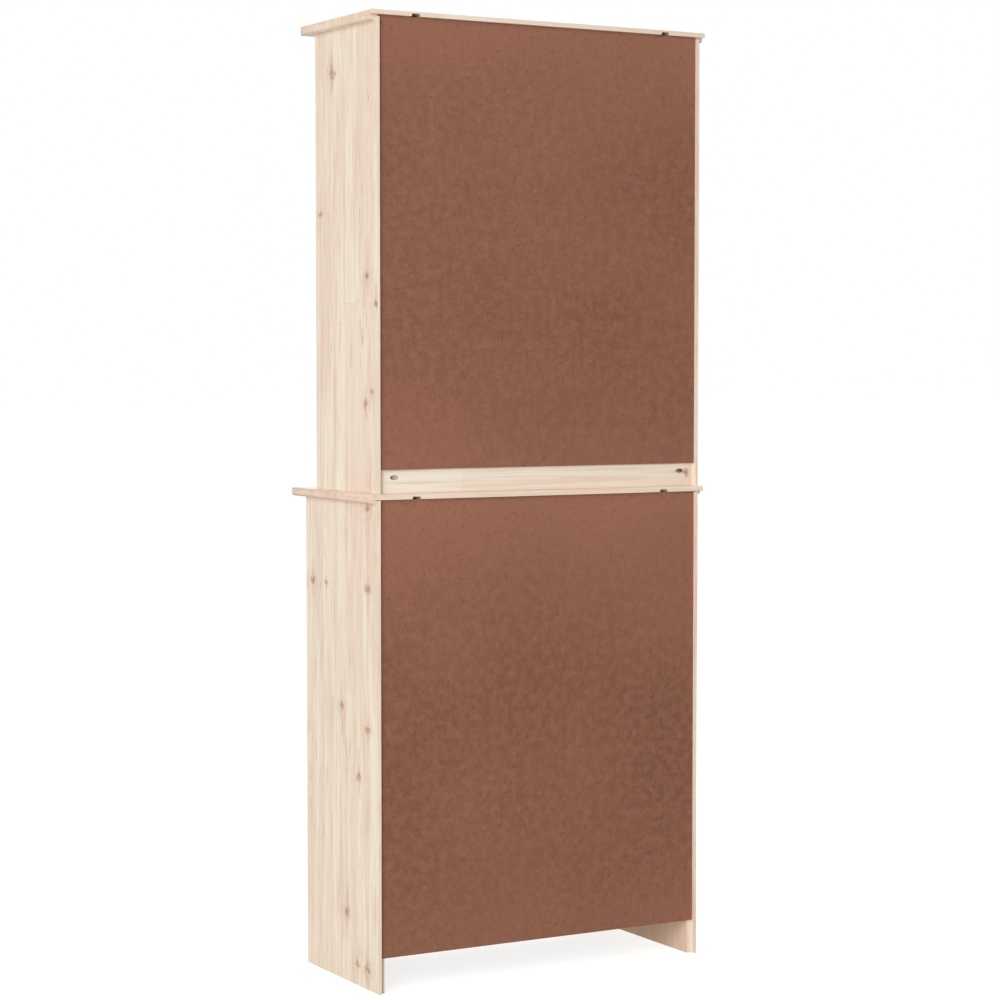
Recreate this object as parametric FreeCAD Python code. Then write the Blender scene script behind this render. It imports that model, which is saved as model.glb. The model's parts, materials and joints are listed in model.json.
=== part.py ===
import FreeCAD, Part
import math
import os

from FreeCAD import Vector

# Two-part pine highboard: an upper cupboard stands on the worktop of a deeper lower one.
# Millimetres, +Z up, front towards -Y, origin on the floor at the centre of the plan.
# Pieces are modelled on the right (+X), and those on the left are their mirror images.

# Overall sizes
height = 1865.0
body_width = 724.0            # across the outer faces of the sides
lower_depth = 320.0           # lower sides, front to back
upper_depth = 270.0
worktop_height = 956.0        # floor to the upper face of the worktop
front_overhang = 38.0         # worktop and top board past the sides' front edges
side_overhang = 13.0
toe_height = 68.0             # floor to the underside of the lower bottom board
upper_rail_height = 46.0      # rails that lift the upper bottom board off the worktop
drawer_opening_height = 156.0

# Boards and the housings that hold their ends
side_thick = 16.0
board_thick = 16.0
rail_thick = 18.0
worktop_thick = 17.0
top_thick = 18.0
arris_radius = 1.5            # eased edges of plain boards
worktop_round = 5.0
top_round = 3.0
housing_depth = 5.0
housing_stop = 14.0           # a housing stops this far behind the front edge

# Back panels, in a rebate that runs right through the boards round them
panel_thick = 3.0
panel_room = 0.5
rebate_depth = 10.0
side_lip = 5.0                # rear edge of a side left beside its rebate
worktop_lip = 10.5            # rear edge of the worktop left above its rebate
top_lip = 8.5
notch_width = 17.0
notch_height = 5.0            # above the shoulder of the rebate
notch_drop = 3.0              # below the shoulder, behind the panel
notch_depth = 24.0            # from the rear edge
notch_radius = 1.5
notch_inset = 82.0            # outer face of a side to the middle of a notch

# Loose tongues that key the upper sides to the worktop
tongue_length = 70.0
tongue_thick = 6.0
tongue_depth = 8.0            # into each of the two boards

# Lower plinth
plinth_setback = 3.0
plinth_foot = 66.0            # width of each foot where it meets the floor
plinth_slope = 26.0           # sideways run of the foot's sloping inner edge
plinth_crown = 40.0           # height of the arch
plinth_crown_radius = 24.0

# Pockets in the upper rear rail, for the screws that hold it to the sides
pocket_inset = 23.0           # end of the rail to the middle of a pocket
pocket_height = 31.0          # worktop to the middle of a pocket
pocket_radius = 4.5
pocket_depth = 11.0           # along the screw
pocket_angle = 30.0           # screw to the rear face of the rail

# Drawer frame
drawer_rail_width = 60.0
divider_thick = 16.0
runner_height = 12.0
runner_clearance = 0.3
runner_end_room = 6.0

# Drawers
drawer_front_thick = 18.0
drawer_front_gap = 2.0
drawer_front_round = 3.0
drawer_side_thick = 12.0
drawer_side_drop = 28.0       # worktop to the upper edge of a drawer side
drawer_side_lift = 12.0       # drawer rail to the lower edge of a drawer side
drawer_side_gap = 4.0         # drawer side to the wall beside it
drawer_rear_room = 18.0       # drawer side to the back panel
drawer_back_thick = 12.0
drawer_back_drop = 10.0       # upper edge of the back below the sides
drawer_dado_depth = 6.0
drawer_groove_depth = 6.0
drawer_groove_lift = 58.0     # lower edge of a drawer side to its runner groove
drawer_bottom_thick = 3.0
drawer_bottom_lift = 9.0
drawer_bottom_groove = 5.0
drawer_bottom_room = 0.5

# Shelves and the battens that carry them
shelf_end_gap = 1.0
shelf_front_room = 6.0        # back of a door to the front edge of a shelf
shelf_rear_room = 1.0
lower_shelf_share = 0.48      # height of the lower shelf in its cupboard
upper_shelf_shares = (0.34, 0.67)
batten_width = 14.0
batten_height = 20.0
batten_chamfer = 6.0
batten_inset = 12.0           # front and rear edge of a shelf to the end of its batten

# Doors
door_thick = 18.0
hinge_gap = 2.0               # side to the hinge edge of a door
meeting_gap = 3.0             # between the doors of a pair
door_end_gap = 2.5            # above and below a door
stile_width = 52.0
top_rail_width = 52.0
bottom_rail_width = 64.0
frame_groove_width = 6.0
frame_groove_depth = 9.0
frame_groove_setback = 7.0    # front of a door to its groove
frame_tongue_clearance = 0.1
frame_tongue_room = 1.0       # end of a tongue to the bottom of its groove
frame_chamfer = 4.0
frame_chamfer_corner = 6.0
field_border = 3.0            # door frame to the foot of the panel's bevel
field_bevel = 30.0
field_rise = 4.5

# Butt hinges
leaf_length = 50.0
leaf_width = 15.0
leaf_thick = 1.5
knuckle_radius = 3.0
knuckle_clearance = 0.5       # front of a door to the knuckles of its hinges
knuckle_gap = 0.25            # between knuckles that turn past each other
hinge_pin_radius = 1.5
hinge_pin_clearance = 0.05
hinge_inset = 92.0            # end of a door to the middle of a hinge

# Turned knobs
knob_length = 28.0
knob_rim_radius = 15.0
knob_rim_out = 21.0
knob_bevel = 4.0
knob_neck_radius = 7.5
knob_neck_out = 11.0
knob_foot_radius = 10.0
upper_knob_height_share = 0.42
lower_knob_height_share = 0.74

# Catches that hold each pair of doors shut
catch_width = 40.0
catch_depth = 15.0
catch_height = 13.0
catch_round = 3.0
catch_clearance = 1.5         # back of a door to the catch, the strike plate's room

# One length by which every cut runs past the face that it starts from
overrun = 1.0
# Largest distance at which two levels count as the same
same = 0.01

# Planes worked out from the sizes above
half = body_width / 2
inner = half - side_thick
rear = (lower_depth + front_overhang) / 2
seat = rear - rebate_depth
lower_front = rear - lower_depth
upper_front = rear - upper_depth
worktop_under = worktop_height - worktop_thick
top_under = height - top_thick
lower_floor = toe_height + board_thick
upper_under = worktop_height + upper_rail_height
upper_floor = upper_under + board_thick
drawer_floor = worktop_under - drawer_opening_height
lower_ceiling = drawer_floor - board_thick
divider_face = divider_thick / 2
lower_shelf_z = lower_floor + (lower_ceiling - lower_floor) * lower_shelf_share
upper_shelf_zs = [upper_floor + (top_under - upper_floor) * share for share in upper_shelf_shares]
lower_door_z = (lower_floor + door_end_gap, lower_ceiling - door_end_gap)
upper_door_z = (upper_floor + door_end_gap, top_under - door_end_gap)


def plan(z):
    return lambda point: Vector(point.x, point.y, z)


def front_view(y):
    return lambda point: Vector(point.x, y, point.y)


def end_view(x):
    return lambda point: Vector(x, point.x, point.y)


def sketch(corners, place):
    """Closed outline through corners (a, b, radius), each rounded by its radius where it has one."""
    points = [Vector(a, b, 0) for a, b, radius in corners]
    turns = []
    for i, here in enumerate(points):
        radius = corners[i][2]
        back = (points[i - 1] - here).normalize()
        on = (points[(i + 1) % len(points)] - here).normalize()
        half_angle = back.getAngle(on) / 2
        reach = radius / math.tan(half_angle)
        crown = here + (back + on).normalize() * (radius / math.sin(half_angle) - radius)
        turns.append((here + back * reach, crown, here + on * reach))
    edges = []
    for i, (start, crown, end) in enumerate(turns):
        if corners[i][2] > 0:
            edges.append(Part.Arc(place(start), place(crown), place(end)).toShape())
        following = turns[(i + 1) % len(turns)][0]
        edges.append(Part.LineSegment(place(end), place(following)).toShape())
    return Part.Wire(edges)


def pad(corners, place, travel):
    return Part.Face(sketch(corners, place)).extrude(travel)


def block(x0, x1, y0, y1, z0, z1):
    return Part.makeBox(x1 - x0, y1 - y0, z1 - z0, Vector(x0, y0, z0))


def rectangle(x0, x1, z0, z1, radius, y):
    corners = [(x0, z0, radius), (x1, z0, radius), (x1, z1, radius), (x0, z1, radius)]
    return sketch(corners, front_view(y))


def rod(radius, start, end):
    return Part.makeCylinder(radius, (end - start).Length, start, end - start)


def mirrored(shape):
    return shape.mirror(Vector(0, 0, 0), Vector(1, 0, 0))


def pair(shape):
    """A right-hand piece and its mirror image."""
    return [shape, mirrored(shape)]


def plank(x0, x1, y0, y1, z0, z1):
    """A board that lies flat, with its front arrises eased."""
    corners = [(y0, z0, arris_radius), (y1, z0, 0), (y1, z1, 0), (y0, z1, arris_radius)]
    return pad(corners, end_view(x0), Vector(x1 - x0, 0, 0))


def housed_board(y0, y1, z0, z1):
    """A plank between the sides, its ends let into their housings."""
    reach = inner + housing_depth
    ends = block(-reach, reach, y0 + housing_stop, y1, z0, z1)
    return plank(-inner, inner, y0, y1, z0, z1).fuse(ends).removeSplitter()


def housing(y0, y1, z0, z1):
    """Stopped housing in the right-hand side for the end of a board."""
    return block(inner - overrun, inner + housing_depth, y0 + housing_stop, y1, z0, z1)


def bottom_board_space(front, z0):
    return front, seat, z0, z0 + board_thick


def drawer_rail_spaces():
    """Front and rear rail under the drawers, each as its y and z limits."""
    front_rail = (lower_front, lower_front + drawer_rail_width, lower_ceiling, drawer_floor)
    rear_rail = (seat - drawer_rail_width, seat, lower_ceiling, drawer_floor)
    return front_rail, rear_rail


def key_tongue():
    """Right-hand loose tongue, half in the worktop and half in the upper side."""
    x = inner + side_thick / 2
    y = rear - upper_depth / 2
    return block(
        x - tongue_thick / 2, x + tongue_thick / 2, y - tongue_length / 2, y + tongue_length / 2,
        worktop_height - tongue_depth, worktop_height + tongue_depth,
    )


def pocket():
    """Slanting screw pocket near the right-hand end of the upper rear rail."""
    angle = math.radians(pocket_angle)
    mouth = Vector(inner - pocket_inset, seat, worktop_height + pocket_height)
    way = Vector(math.cos(angle), -math.sin(angle), 0)
    return rod(pocket_radius, mouth - way * pocket_depth, mouth + way * pocket_depth)


def hinge_levels(z0, z1):
    return [z0 + hinge_inset, z1 - hinge_inset]


def leaf_mortise(x0, x1, front, z):
    """Shallow recess for a hinge leaf, open at the front."""
    return block(x0, x1, front - overrun, front + leaf_width, z - leaf_length / 2, z + leaf_length / 2)


def side_board(front, z0, z1, door_z, cuts):
    """Right-hand side: rear rebate, hinge mortises, and an upper end that is let into the slab above."""
    corners = [
        (inner, front, arris_radius),
        (half, front, arris_radius),
        (half, rear, 0),
        (half - side_lip, rear, 0),
        (half - side_lip, seat, 0),
        (inner, seat, 0),
    ]
    end = z1 + housing_depth
    side = pad(corners, plan(z0), Vector(0, 0, end - z0))
    front_step = block(
        inner - overrun, half + overrun, front - overrun, front + housing_stop, z1, end + overrun,
    )
    mortises = [leaf_mortise(inner - overrun, inner + leaf_thick, front, z) for z in hinge_levels(*door_z)]
    return side.cut([front_step] + mortises + cuts)


def lower_side():
    spaces = (bottom_board_space(lower_front, toe_height), *drawer_rail_spaces())
    cuts = [housing(*space) for space in spaces]
    return side_board(lower_front, 0, worktop_under, lower_door_z, cuts)


def upper_side():
    cuts = [housing(*bottom_board_space(upper_front, upper_under)), key_tongue()]
    return side_board(upper_front, worktop_height, top_under, upper_door_z, cuts)


def level_edges(shape, z):
    """Edges at one level, apart from the rear one."""
    return [
        edge for edge in shape.Edges
        if abs(edge.BoundBox.ZMin - z) < same
        and abs(edge.BoundBox.ZMax - z) < same
        and edge.BoundBox.YMin < rear - same
    ]


def slab(front, z0, z1, edge_round, lip):
    """Worktop or top board: rounded edges, housings for the sides, a rebate and two notches behind."""
    reach = half + side_overhang
    shape = block(-reach, reach, front - front_overhang, rear, z0, z1)
    shape = shape.makeFillet(edge_round, level_edges(shape, z0) + level_edges(shape, z1))
    shoulder = z1 - lip
    rebate = block(-reach - overrun, reach + overrun, seat, rear + overrun, z0 - overrun, shoulder)
    side_housing = block(inner, half, front + housing_stop, rear, z0 - overrun, z0 + housing_depth)
    x0 = half - notch_inset - notch_width / 2
    x1 = x0 + notch_width
    notch_corners = [
        (x0, shoulder - notch_drop, notch_radius),
        (x1, shoulder - notch_drop, notch_radius),
        (x1, shoulder + notch_height, notch_radius),
        (x0, shoulder + notch_height, notch_radius),
    ]
    notch = pad(notch_corners, front_view(rear - notch_depth), Vector(0, notch_depth + overrun, 0))
    return shape.cut([rebate] + pair(side_housing) + pair(notch))


def plinth():
    """Lower front plinth: two feet joined by a flat arch with rounded shoulders."""
    foot_x = inner - plinth_foot
    crown_x = foot_x - plinth_slope
    corners = [
        (inner, 0, 0),
        (inner, toe_height, 0),
        (-inner, toe_height, 0),
        (-inner, 0, 0),
        (-foot_x, 0, arris_radius),
        (-crown_x, plinth_crown, plinth_crown_radius),
        (crown_x, plinth_crown, plinth_crown_radius),
        (foot_x, 0, arris_radius),
    ]
    return pad(corners, front_view(lower_front + plinth_setback), Vector(0, rail_thick, 0))


def upper_rail(y0):
    """Rail that lifts the upper bottom board off the worktop."""
    return block(-inner, inner, y0, y0 + rail_thick, worktop_height, upper_under)


def divider():
    """Upright board between the drawers, its front edge eased."""
    corners = [
        (-divider_face, lower_front, arris_radius),
        (divider_face, lower_front, arris_radius),
        (divider_face, seat, 0),
        (-divider_face, seat, 0),
    ]
    return pad(corners, plan(drawer_floor), Vector(0, 0, drawer_opening_height))


def back_panel(z0, z1):
    x = half - side_lip - panel_room
    return block(-x, x, seat, seat + panel_thick, z0, z1 - panel_room)


def shelf_edges(front):
    """Front and rear edge of a shelf in a cupboard whose doors close at this front."""
    return front + door_thick + shelf_front_room, seat - shelf_rear_room


def shelf(front, z):
    y0, y1 = shelf_edges(front)
    x = inner - shelf_end_gap
    return plank(-x, x, y0, y1, z, z + board_thick)


def batten(front, z):
    """Right-hand strip under a shelf, its lower arris chamfered."""
    y0, y1 = shelf_edges(front)
    x0, z0 = inner - batten_width, z - batten_height
    corners = [
        (inner, z, 0),
        (x0, z, 0),
        (x0, z0 + batten_chamfer, 0),
        (x0 + batten_chamfer, z0, 0),
        (inner, z0, 0),
    ]
    return pad(corners, front_view(y0 + batten_inset), Vector(0, y1 - y0 - batten_inset * 2, 0))


def catch(front, ceiling):
    """Block under the cupboard's ceiling that both doors of a pair close against."""
    y0 = front + door_thick + catch_clearance
    x = catch_width / 2
    corners = [
        (-x, ceiling, 0),
        (-x, ceiling - catch_height, catch_round),
        (x, ceiling - catch_height, catch_round),
        (x, ceiling, 0),
    ]
    return pad(corners, front_view(y0), Vector(0, catch_depth, 0))


def knob(x, front, z):
    """Turned knob: a tapered stem, a flared underside and a bevelled head."""
    profile = [
        (0, 0),
        (knob_foot_radius, 0),
        (knob_neck_radius, knob_neck_out),
        (knob_rim_radius, knob_rim_out),
        (knob_rim_radius - knob_bevel, knob_length),
        (0, knob_length),
    ]
    points = [Vector(x + radius, front - out, z) for radius, out in profile]
    face = Part.Face(Part.makePolygon(points + points[:1]))
    return face.revolve(Vector(x, front, z), Vector(0, 1, 0), 360)


def door(front, z0, z1, knob_share):
    """Right-hand door: grooved frame with a routed inner chamfer, fielded panel and knob."""
    x0, x1 = meeting_gap / 2, inner - hinge_gap
    open_x0, open_x1 = x0 + stile_width, x1 - stile_width
    open_z0, open_z1 = z0 + bottom_rail_width, z1 - top_rail_width
    back = front + door_thick
    groove_x = (open_x0 - frame_groove_depth, open_x1 + frame_groove_depth)
    groove_y = (front + frame_groove_setback, front + frame_groove_setback + frame_groove_width)
    rail_groove = block(*groove_x, *groove_y, open_z0 - frame_groove_depth, open_z1 + frame_groove_depth)
    stile_groove = block(*groove_x, *groove_y, z0 - overrun, z1 + overrun)
    spread = frame_chamfer + overrun
    chamfer = Part.makeLoft([
        rectangle(open_x0, open_x1, open_z0, open_z1, frame_chamfer_corner, front + frame_chamfer),
        rectangle(
            open_x0 - spread, open_x1 + spread, open_z0 - spread, open_z1 + spread,
            frame_chamfer_corner + spread, front - overrun,
        ),
    ], True, True)

    mortises = [leaf_mortise(x1 - leaf_thick, x1 + overrun, front, z) for z in hinge_levels(z0, z1)]
    free_stile = block(x0, open_x0, front, back, z0, z1)
    hinge_stile = block(open_x1, x1, front, back, z0, z1)

    tongue = frame_groove_depth - frame_tongue_room
    tongue_x = (open_x0 - tongue, open_x1 + tongue)
    tongue_y = (groove_y[0] + frame_tongue_clearance, groove_y[1] - frame_tongue_clearance)

    def rail(rail_z0, rail_z1):
        body = block(open_x0, open_x1, front, back, rail_z0, rail_z1)
        tongues = block(*tongue_x, *tongue_y, rail_z0, rail_z1)
        return body.fuse(tongues).cut([rail_groove, chamfer]).removeSplitter()

    field_x = (open_x0 + field_border, open_x1 - field_border)
    field_z = (open_z0 + field_border, open_z1 - field_border)
    field = Part.makeWedge(
        field_x[0] + field_bevel, tongue_y[0] - field_rise, field_z[0] + field_bevel,
        field_z[0], field_x[0],
        field_x[1] - field_bevel, tongue_y[0], field_z[1] - field_bevel,
        field_z[1], field_x[1],
    )
    sheet = block(*tongue_x, *tongue_y, open_z0 - tongue, open_z1 + tongue)
    return {
        "stiles": [
            free_stile.cut([stile_groove, chamfer]),
            hinge_stile.cut([stile_groove, chamfer] + mortises),
        ],
        "top_rail": [rail(open_z1, z1)],
        "bottom_rail": [rail(z0, open_z0)],
        "panel": [sheet.fuse(field)],
        "knob": [knob(x0 + stile_width / 2, front, z0 + (z1 - z0) * knob_share)],
    }


def hinge_axis(front, z):
    return Vector(inner - hinge_gap / 2, front - knuckle_clearance - knuckle_radius, z)


def knuckle_bands(z):
    """Lower, middle and upper knuckle of a hinge, each as its two ends."""
    third = leaf_length / 3
    z0 = z - leaf_length / 2
    return [(z0, z0 + third), (z0 + third, z0 + third * 2), (z0 + third * 2, z0 + leaf_length)]


def hinge_leaf(x0, front, z, own_bands, other_bands):
    """A leaf that wraps into its own knuckles and is cut back from the other leaf's."""
    x1 = x0 + leaf_thick
    axis = hinge_axis(front, z)
    leaf = block(x0, x1, axis.y, front + leaf_width, z - leaf_length / 2, z + leaf_length / 2)
    knuckles = [rod(knuckle_radius, hinge_axis(front, z0), hinge_axis(front, z1)) for z0, z1 in own_bands]
    leaf = leaf.fuse(knuckles)
    clear_x = knuckle_radius + overrun
    cuts = [
        block(
            axis.x - clear_x, axis.x + clear_x, axis.y - clear_x, front,
            z0 - knuckle_gap, z1 + knuckle_gap,
        )
        for z0, z1 in other_bands
    ]
    bore_reach = Vector(0, 0, leaf_length / 2 + overrun)
    cuts.append(rod(hinge_pin_radius + hinge_pin_clearance, axis - bore_reach, axis + bore_reach))
    return leaf.cut(cuts).removeSplitter()


def hinges(front, z0, z1):
    """Right-hand frame leaves, door leaves and pins of one door."""
    frame_leaves, door_leaves, pins = [], [], []
    door_leaf_x = inner - hinge_gap - leaf_thick
    for z in hinge_levels(z0, z1):
        lower, middle, upper = knuckle_bands(z)
        frame_leaves.append(hinge_leaf(inner, front, z, [lower, upper], [middle]))
        door_leaves.append(hinge_leaf(door_leaf_x, front, z, [middle], [lower, upper]))
        pins.append(rod(hinge_pin_radius, hinge_axis(front, lower[0]), hinge_axis(front, upper[1])))
    return frame_leaves, door_leaves, pins


def runner_z():
    """Lower and upper face of a runner."""
    z0 = drawer_floor + drawer_side_lift + drawer_groove_lift + runner_clearance
    return z0, z0 + runner_height


def runners():
    """Strips on the right-hand wall and on the divider that carry the right-hand drawer."""
    y0 = lower_front + drawer_front_thick + runner_end_room
    reach = drawer_side_gap + drawer_groove_depth - runner_clearance
    return [
        block(inner - reach, inner, y0, seat, *runner_z()),
        block(divider_face, divider_face + reach, y0, seat, *runner_z()),
    ]


def drawer():
    """Right-hand drawer: front with dadoes, grooved sides, back, bottom sheet and knob."""
    face_x = (divider_face + drawer_front_gap, inner - drawer_front_gap)
    face_z = (drawer_floor + drawer_front_gap, worktop_under - drawer_front_gap)
    face_back = lower_front + drawer_front_thick
    box_x0, box_x1 = divider_face + drawer_side_gap, inner - drawer_side_gap
    inside_x0, inside_x1 = box_x0 + drawer_side_thick, box_x1 - drawer_side_thick
    side_y = (face_back - drawer_dado_depth, seat - drawer_rear_room)
    side_z = (drawer_floor + drawer_side_lift, worktop_under - drawer_side_drop)
    sheet_z = (side_z[0] + drawer_bottom_lift, side_z[0] + drawer_bottom_lift + drawer_bottom_thick)
    groove_y = (face_back, side_y[1] + overrun)
    groove_z = (runner_z()[0] - runner_clearance, runner_z()[1] + runner_clearance)

    sheet_x0, sheet_x1 = inside_x0 - drawer_bottom_groove, inside_x1 + drawer_bottom_groove
    sheet_y0 = face_back - drawer_bottom_groove
    sheet_groove = block(sheet_x0, sheet_x1, sheet_y0, side_y[1] + overrun, *sheet_z)
    left = block(box_x0, inside_x0, *side_y, *side_z)
    right = block(inside_x1, box_x1, *side_y, *side_z)
    left_groove = block(box_x0 - overrun, box_x0 + drawer_groove_depth, *groove_y, *groove_z)
    right_groove = block(box_x1 - drawer_groove_depth, box_x1 + overrun, *groove_y, *groove_z)

    face = block(*face_x, lower_front, face_back, *face_z)
    face = face.makeFillet(
        drawer_front_round, [edge for edge in face.Edges if edge.BoundBox.YMax < lower_front + same],
    )
    room = drawer_bottom_room
    return {
        "front": [face.cut([left, right, sheet_groove])],
        "sides": [left.cut([sheet_groove, left_groove]), right.cut([sheet_groove, right_groove])],
        "back": [block(
            inside_x0, inside_x1, side_y[1] - drawer_back_thick, side_y[1],
            sheet_z[1], side_z[1] - drawer_back_drop,
        )],
        "bottom": [block(sheet_x0 + room, sheet_x1 - room, sheet_y0 + room, side_y[1], *sheet_z)],
        "knob": [knob(sum(face_x) / 2, lower_front, sum(face_z) / 2)],
    }


def write(node, solids):
    """One file per node, with each of its solids apart."""
    solids = [solid for shape in solids for solid in shape.Solids]
    shape = solids[0] if len(solids) == 1 else Part.makeCompound(solids)
    shape.exportStep(os.path.join("parts", node + ".step"))


def write_both(name, solids):
    """A right-hand node and its left-hand mirror image; the name holds a place for the hand."""
    write(name.format("right"), solids)
    write(name.format("left"), [mirrored(solid) for solid in solids])


def write_pairs(node, solids):
    """One node that holds right-hand pieces and their mirror images."""
    write(node, [piece for solid in solids for piece in pair(solid)])


def write_lower_carcass():
    write_both("lower_side_{}", [lower_side()])
    worktop = slab(lower_front, worktop_under, worktop_height, worktop_round, worktop_lip)
    write("worktop", [worktop.cut(pair(key_tongue()))])
    write("lower_bottom_board", [housed_board(*bottom_board_space(lower_front, toe_height))])
    write("lower_plinth", [plinth()])
    front_rail, rear_rail = drawer_rail_spaces()
    write("drawer_front_rail", [housed_board(*front_rail)])
    write("drawer_rear_rail", [housed_board(*rear_rail)])
    write("drawer_divider", [divider()])
    write_pairs("drawer_runners", runners())
    write("lower_shelf", [shelf(lower_front, lower_shelf_z)])
    write("lower_back_panel", [back_panel(toe_height, worktop_height - worktop_lip)])


def write_upper_carcass():
    write_both("upper_side_{}", [upper_side()])
    write("top_board", [slab(upper_front, top_under, height, top_round, top_lip)])
    write("upper_bottom_board", [housed_board(*bottom_board_space(upper_front, upper_under))])
    write("upper_front_rail", [upper_rail(upper_front)])
    write("upper_rear_rail", [upper_rail(seat - rail_thick).cut(pair(pocket()))])
    for name, z in zip(("upper_shelf_low", "upper_shelf_high"), upper_shelf_zs):
        write(name, [shelf(upper_front, z)])
    write("upper_back_panel", [back_panel(upper_under, height - top_lip)])
    write_pairs("locating_tongues", [key_tongue()])


def write_fittings():
    battens = [batten(lower_front, lower_shelf_z)] + [batten(upper_front, z) for z in upper_shelf_zs]
    write_pairs("shelf_battens", battens)
    write("door_catches", [catch(lower_front, lower_ceiling), catch(upper_front, top_under)])


def write_doors():
    all_frame_leaves, all_pins = [], []
    for name, front, door_z, knob_share in (
        ("lower", lower_front, lower_door_z, lower_knob_height_share),
        ("upper", upper_front, upper_door_z, upper_knob_height_share),
    ):
        frame_leaves, door_leaves, pins = hinges(front, *door_z)
        for piece, solids in door(front, *door_z, knob_share).items():
            write_both(name + "_{}_door_" + piece, solids)
        write_both(name + "_{}_door_leaves", door_leaves)
        all_frame_leaves += frame_leaves
        all_pins += pins
    write_pairs("hinge_frame_leaves", all_frame_leaves)
    write_pairs("hinge_pins", all_pins)


def write_drawers():
    for piece, solids in drawer().items():
        write_both("{}_drawer_" + piece, solids)


os.makedirs("parts", exist_ok=True)
write_lower_carcass()
write_upper_carcass()
write_fittings()
write_doors()
write_drawers()
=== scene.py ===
"""Looks of a two-part pine highboard: untreated edge-glued pine, brown hardboard and zinc-plated hinges."""
import json
import math
from types import SimpleNamespace

import bmesh
import bpy
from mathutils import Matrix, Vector


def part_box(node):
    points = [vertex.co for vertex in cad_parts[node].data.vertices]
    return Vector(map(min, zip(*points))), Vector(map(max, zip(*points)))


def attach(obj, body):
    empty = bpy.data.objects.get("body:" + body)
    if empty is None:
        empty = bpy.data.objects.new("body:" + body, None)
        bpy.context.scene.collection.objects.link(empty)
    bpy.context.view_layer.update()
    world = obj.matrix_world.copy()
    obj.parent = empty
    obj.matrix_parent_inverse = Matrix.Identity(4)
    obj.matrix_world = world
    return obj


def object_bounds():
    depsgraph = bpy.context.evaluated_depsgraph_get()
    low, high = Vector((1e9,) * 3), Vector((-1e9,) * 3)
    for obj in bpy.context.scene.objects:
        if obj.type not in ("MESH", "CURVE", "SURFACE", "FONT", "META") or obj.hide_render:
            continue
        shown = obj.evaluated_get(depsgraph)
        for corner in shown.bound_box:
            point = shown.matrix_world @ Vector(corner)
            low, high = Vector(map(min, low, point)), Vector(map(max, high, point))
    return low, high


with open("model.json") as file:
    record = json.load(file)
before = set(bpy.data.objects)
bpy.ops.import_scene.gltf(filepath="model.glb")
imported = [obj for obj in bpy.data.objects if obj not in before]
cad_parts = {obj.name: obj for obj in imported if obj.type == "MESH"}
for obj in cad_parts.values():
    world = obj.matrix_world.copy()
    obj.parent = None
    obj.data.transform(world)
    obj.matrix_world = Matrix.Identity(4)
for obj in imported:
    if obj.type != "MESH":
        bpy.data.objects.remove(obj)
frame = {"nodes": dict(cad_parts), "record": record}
cad_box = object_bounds()

# Camera, in metres and degrees
camera_place = (2.577, 4.554, 1.206)
camera_heading = 150.464      # 0 looks along +Y
camera_drop = 3.038           # below the horizon
camera_lens = 93.566          # millimetres
camera_sensor = 36.0          # millimetres across

# Light
room_light = 0.47             # soft light from all round
floor_tone = 0.50             # how much of its light the floor throws back
floor_glow = 0.80             # lifts the floor to white where the camera sees it
floor_reach = 60.0            # middle of the floor to its edges
white = (1.0, 1.0, 1.0, 1.0)
softboxes = {                 # place, length of an edge, watts, colour
    "side_light": ((9.2, 7.1, 5.8), 6.2, 670.0, (1.0, 1.0, 1.0)),
    "low_light": ((3.4, 3.9, 0.26), 1.0, 103.0, (1.0, 0.96, 0.92)),
    "front_light": ((-2.9, -4.2, 3.2), 2.0, 180.0, (1.0, 1.0, 1.0)),
}

# Edges that a hand plane or sandpaper has eased
board_ease = 0.0008
knob_ease = 0.0022
steel_ease = 0.00025
ease_steps = 2
ease_angle = 35               # degrees; flatter edges stay as they are
weld_reach = 0.00001          # corners that are nearer than this become one

# Screws: radius and rise of the head
hinge_screw = (0.0027, 0.0005)
pocket_screw = (0.0040, 0.0048)
knob_screw = (0.0042, 0.0022)
batten_screw = (0.0036, 0.0008)
catch_screw = (0.0026, 0.0008)
strike_screw = (0.0022, 0.0004)
screw_sink = 0.0001           # how far a head or a plate is let into its seat
screw_shape = {               # for a head with a radius and a rise of 1
    "Sides": 20, "Crown share": 0.62, "Slot reach share": 0.52, "Slot width share": 0.17,
    "Slot depth share": 0.7,
}
dome_steps = 4

# Where the screws sit
leaf_length = 0.050
hinge_screw_spread = 0.017    # middle of a hinge to each of its screws
hinge_screw_inset = 0.0055    # rear edge of a leaf to its screws
pocket_inset = 0.023          # end of the rail to the middle of a pocket
pocket_lift = 0.031           # lower edge of the rail to the middle of a pocket
pocket_depth = 0.011
pocket_slant = math.radians(30)
pocket_reach = 0.018          # middle of a pocket to its ends, with a little to spare
pocket_radius = 0.0045
batten_width = 0.014
batten_screw_drop = 0.0075    # underside of a shelf to the screws of its battens
batten_screw_shares = (0.16, 0.5, 0.84)
catch_height = 0.013
catch_middle = 0.009          # back of a door to the middle of its catch
catch_screw_spread = 0.012

# Notches behind the worktop and the top board
notch_middle = 0.280          # middle plane of the highboard to the middle of a notch
notch_width = 0.017
notch_depth = 0.024
notch_rise = 0.0055           # into the rear lip, with a little to spare
notch_drop = 0.0035           # below the rear lip, with a little to spare
rear_lips = {"worktop": 0.0105, "top_board": 0.0085}

# Painted shade in the notches and the pockets, where little light reaches
notch_painted_shade = 0.52
pocket_painted_shade = 0.50
painted_shade_fade = 0.0005
hollow_spare = 1.1            # a box of painted shade is larger than its hollow by this

# Strike plates on the backs of the doors, facing the catches
strike_width = 0.014
strike_height = 0.0085
strike_thick = 0.0008
strike_corner = 0.002
strike_corner_steps = 4
strike_inset = 0.0095         # free edge of a door to the middle of its plate
strike_drop = 0.0055          # upper edge of a door to the middle of its plate

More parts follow.
